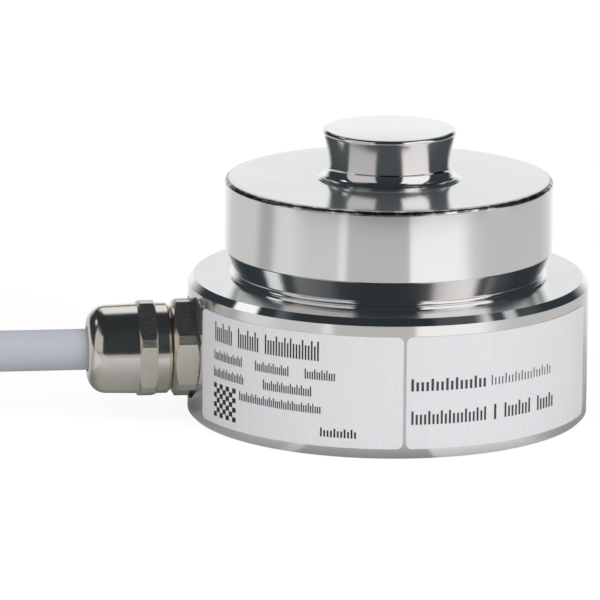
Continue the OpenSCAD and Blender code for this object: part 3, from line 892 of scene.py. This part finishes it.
def add_looks():
    looks = {
        "base_steel": turned_steel("base_steel", (0.84, 0.835, 0.83), BASE_FINISH),
        "cap_steel": turned_steel("cap_steel", (0.85, 0.85, 0.845), CAP_FINISH, CAP_HAZE, CAP_WORN),
        "ring_steel": turned_steel("ring_steel", (0.82, 0.82, 0.815), RING_FINISH),
        "gauge_foil": grained("gauge_foil", (0.72, 0.5, 0.18), 0.3, 900, 0.01 * MM),
        "board": grained("board", (0.05, 0.28, 0.12), 0.35, 700, 0.01 * MM),
        "screw_steel": turned_steel("screw_steel", (0.45, 0.45, 0.45), SCREW_FINISH),
        "resistor": grained("resistor", (0.7, 0.58, 0.4), 0.5, 900, 0.01 * MM),
        "solder": plated_metal("solder", (0.75, 0.75, 0.74), 0.25),
        "wire_lacquer": grained("wire_lacquer", (0.55, 0.2, 0.06), 0.25, 900, 0.01 * MM),
        "label_film": brushed_film("label_film", (0.86, 0.875, 0.90), 0.42),
        "nickel_brass": plated_metal("nickel_brass", (0.77, 0.725, 0.665), 0.16),
        "seal_rubber": grained("seal_rubber", (0.05, 0.05, 0.05), 0.7, 700, 0.02 * MM),
        "claw_plastic": grained("claw_plastic", (0.75, 0.73, 0.68), 0.5, 700, 0.01 * MM),
        "cable_sheath": grained("cable_sheath", (0.53, 0.575, 0.625), 0.55, 420, 0.03 * MM),
        "tie_plastic": grained("tie_plastic", (0.02, 0.02, 0.02), 0.45, 500, 0.01 * MM),
        "core_black": grained("core_black", (0.02, 0.02, 0.02), 0.4, 900, 0.01 * MM),
        "core_blue": grained("core_blue", (0.03, 0.09, 0.42), 0.4, 900, 0.01 * MM),
        "core_red": grained("core_red", (0.5, 0.02, 0.02), 0.4, 900, 0.01 * MM),
        "core_white": grained("core_white", (0.8, 0.8, 0.78), 0.4, 900, 0.01 * MM),
        "print_black": grained("print_black", (0.015, 0.015, 0.018), 0.5, 1500, 0.004 * MM),
        "print_grey": grained("print_grey", (0.045, 0.047, 0.055), 0.5, 1500, 0.004 * MM),
    }
    return looks


def dress_nodes(looks):
    """Gives every solid of the frame the finish of its own slot."""
    for subpart in frame["record"]["subparts"]:
        piece = cad(subpart["node"])
        for slot in piece.material_slots:
            slot.material = looks[subpart["material_slot"]]


# Stage
class Studio(Nodes):
    """The world's or the floor's nodes, by direction from the camera's side."""

    def __init__(self, tree, coords_output):
        super().__init__(tree)
        tree.nodes.clear()
        coords = self.add("ShaderNodeTexCoord")
        turn = self.add("ShaderNodeVectorRotate", rotation_type="Z_AXIS")
        turn.inputs["Angle"].default_value = -VIEW_AZIMUTH
        self.link(coords.outputs[coords_output], turn.inputs["Vector"])
        self.x, self.y, self.z = self.split(turn.outputs[0])
        self.side = self.math("DEGREES", self.math("ARCTAN2", self.x, self.times(self.y, -1.0)))
        self.turned = self.math("ABSOLUTE", self.side)
        self.path = self.add("ShaderNodeLightPath")

    def rise(self, value, start, end):
        """A smooth step from 0 at the start to 1 at the end, or down where the end lies below the start."""
        node = self.add("ShaderNodeMapRange", interpolation_type="SMOOTHSTEP")
        node.inputs["From Min"].default_value = min(start, end)
        node.inputs["From Max"].default_value = max(start, end)
        node.inputs["To Min"].default_value = 0 if start < end else 1
        node.inputs["To Max"].default_value = 1 if start < end else 0
        self.link(value, node.inputs["Value"])
        return node.outputs[0]

    def stretch(self, value, low, high, low_soft, high_soft):
        """One between low and high, and nothing beyond half of each soft width outside them."""
        up = self.rise(value, low - low_soft / 2, low + low_soft / 2)
        down = self.rise(value, high + high_soft / 2, high - high_soft / 2)
        return self.times(up, down)

    def band(self, value, low, high, soft):
        return self.stretch(value, low, high, soft, soft)

    def shader(self, kind, colour, strength=None):
        node = self.add(kind)
        if isinstance(colour, tuple):
            node.inputs["Color"].default_value = (*colour, 1)
        else:
            self.link(colour, node.inputs["Color"])
        if strength is not None:
            node.inputs["Strength"].default_value = strength
        return node.outputs[0]

    def mixed(self, share, first, second):
        node = self.add("ShaderNodeMixShader")
        self.feed(node.inputs[0], share)
        self.link(first, node.inputs[1])
        self.link(second, node.inputs[2])
        return node.outputs[0]

    def summed(self, first, second):
        node = self.add("ShaderNodeVectorMath", operation="ADD")
        self.link(first, node.inputs[0])
        self.link(second, node.inputs[1])
        return node.outputs[0]

    def output(self, kind, seen, mirrored, other):
        """What the camera sees, what polished metal mirrors and what lights matt surfaces."""
        by_gloss = self.mixed(self.path.outputs["Is Glossy Ray"], other, mirrored)
        camera = self.path.outputs["Is Camera Ray"]
        direct = self.math("MAXIMUM", camera, self.path.outputs["Is Transmission Ray"])
        self.link(self.mixed(direct, by_gloss, seen), self.add(kind).inputs[0])


def add_world():
    """A dark studio with soft boxes at both sides and a pale wall behind, as polished metal mirrors it."""
    world = bpy.data.worlds.new("studio")
    bpy.context.scene.world = world
    world.use_nodes = True
    studio = Studio(world.node_tree, "Generated")
    height = studio.math("DEGREES", studio.math("ARCSINE", studio.z))
    wall = studio.times(studio.rise(height, *WALL_HEIGHT), studio.rise(studio.turned, *WALL_SIDE))
    behind = studio.rise(studio.y, *OVERHEAD_BEHIND)
    overhead = studio.times(behind, studio.rise(studio.turned, *OVERHEAD_SIDE))
    overhead = studio.times(overhead, studio.rise(height, *OVERHEAD_HEIGHT))
    light = studio.scaled(studio.math("MAXIMUM", wall, overhead), REAR_COLOUR)
    for left, right, low, high, soft, colour in SOFT_BOXES:
        box = studio.times(studio.band(studio.side, left, right, soft), studio.band(height, low, high, soft))
        light = studio.summed(light, studio.scaled(box, colour))
    low_dark = studio.scaled(studio.rise(height, DARK_HEIGHT, 0.0), LOW_DARK)
    high_dark = studio.scaled(studio.rise(height, 0.0, DARK_HEIGHT), HIGH_DARK)
    light = studio.summed(light, studio.summed(low_dark, high_dark))
    mirrored = studio.shader("ShaderNodeBackground", light)
    lighting = studio.shader("ShaderNodeBackground", SKY_COLOUR, SKY_LIGHT)
    white = studio.shader("ShaderNodeBackground", WHITE, 1.0)
    studio.output("ShaderNodeOutputWorld", white, mirrored, lighting)


def floor_tone(studio):
    """The floor's painted light and shade, by direction alone."""
    tone = studio.plus(studio.times(studio.rise(studio.turned, *REAR_SIDE), REAR_GAIN), FRONT_TONE)
    for left, right, left_soft, right_soft, change in FLOOR_BANDS:
        band = studio.stretch(studio.side, left, right, left_soft, right_soft)
        tone = studio.plus(tone, studio.times(band, change))
    return tone


def near_floor(studio, away):
    """The share of light that the object's shade leaves on the floor."""
    beside = studio.times(studio.band(studio.turned, *BESIDE_SIDE), BESIDE_SHADE)
    beside = studio.times(studio.rise(away, *BESIDE_REACH), beside)
    foot = studio.times(studio.rise(away, *FOOT_REACH), studio.rise(studio.turned, *FOOT_SIDE))
    near = studio.minus(1.0, studio.plus(beside, studio.times(foot, FOOT_SHADE)))
    under = studio.times(studio.band(studio.x, *GLAND_SHADE_X), studio.band(studio.y, *GLAND_SHADE_Y))
    return studio.times(near, studio.minus(1.0, studio.times(under, GLAND_SHADE)))


def far_floor(studio, away):
    """The share of light on the floor well away from the object."""
    lit = studio.rise(studio.turned, *FAR_LIT_SIDE)
    for left, right, share in FAR_PATCHES:
        patch = studio.times(studio.band(studio.side, left, right, FAR_SOFT), share)
        lit = studio.math("MAXIMUM", lit, patch)
    return studio.minus(1.0, studio.times(studio.rise(away, *FAR_REACH), studio.minus(1.0, lit)))


def add_floor():
    """A white floor that keeps a soft shadow, and that polished metal mirrors in uneven light."""
    mesh = bpy.data.meshes.new("floor")
    corners = [(-FLOOR_HALF, -FLOOR_HALF), (FLOOR_HALF, -FLOOR_HALF), (FLOOR_HALF, FLOOR_HALF),
               (-FLOOR_HALF, FLOOR_HALF)]
    mesh.from_pydata([(x, y, -FLOOR_DROP) for x, y in corners], [], [(0, 1, 2, 3)])
    material = bpy.data.materials.new("floor")
    floor = place_piece("floor", mesh, material)
    material.use_nodes = True
    studio = Studio(material.node_tree, "Object")
    away = studio.distance(studio.x, studio.y)
    light = studio.times(studio.times(floor_tone(studio), near_floor(studio, away)), far_floor(studio, away))
    mirrored = studio.shader("ShaderNodeEmission", studio.scaled(light, WHITE))
    matte = studio.shader("ShaderNodeBsdfDiffuse", FLOOR_COLOUR)
    glow = studio.shader("ShaderNodeEmission", WHITE, FLOOR_GLOW)
    studio.output("ShaderNodeOutputMaterial", studio.mixed(GLOW_SHARE, matte, glow), mirrored, matte)


def add_lamp(name, azimuth, elevation, watts):
    """A soft lamp that aims at the object; polished metal sees the studio's soft boxes instead."""
    data = bpy.data.lights.new(name, "AREA")
    data.shape = "SQUARE"
    data.size = LAMP_SIZE
    data.energy = watts
    angle = math.radians(azimuth) + VIEW_AZIMUTH
    rise = math.radians(elevation)
    away = Vector((math.sin(angle) * math.cos(rise), -math.cos(angle) * math.cos(rise), math.sin(rise)))
    lamp = bpy.data.objects.new(name, data)
    lamp.location = away * LAMP_DISTANCE
    lamp.rotation_euler = away.to_track_quat("Z", "Y").to_euler()
    lamp.visible_glossy = False
    bpy.context.scene.collection.objects.link(lamp)


bpy.context.scene.view_settings.view_transform = "Standard"
looks = add_looks()
add_camera()
add_cable(looks)
dress_nodes(looks)
add_turned(looks)
add_gland(looks)
add_labels(looks)
add_world()
add_floor()
for lamp in LAMPS:
    add_lamp(*lamp)
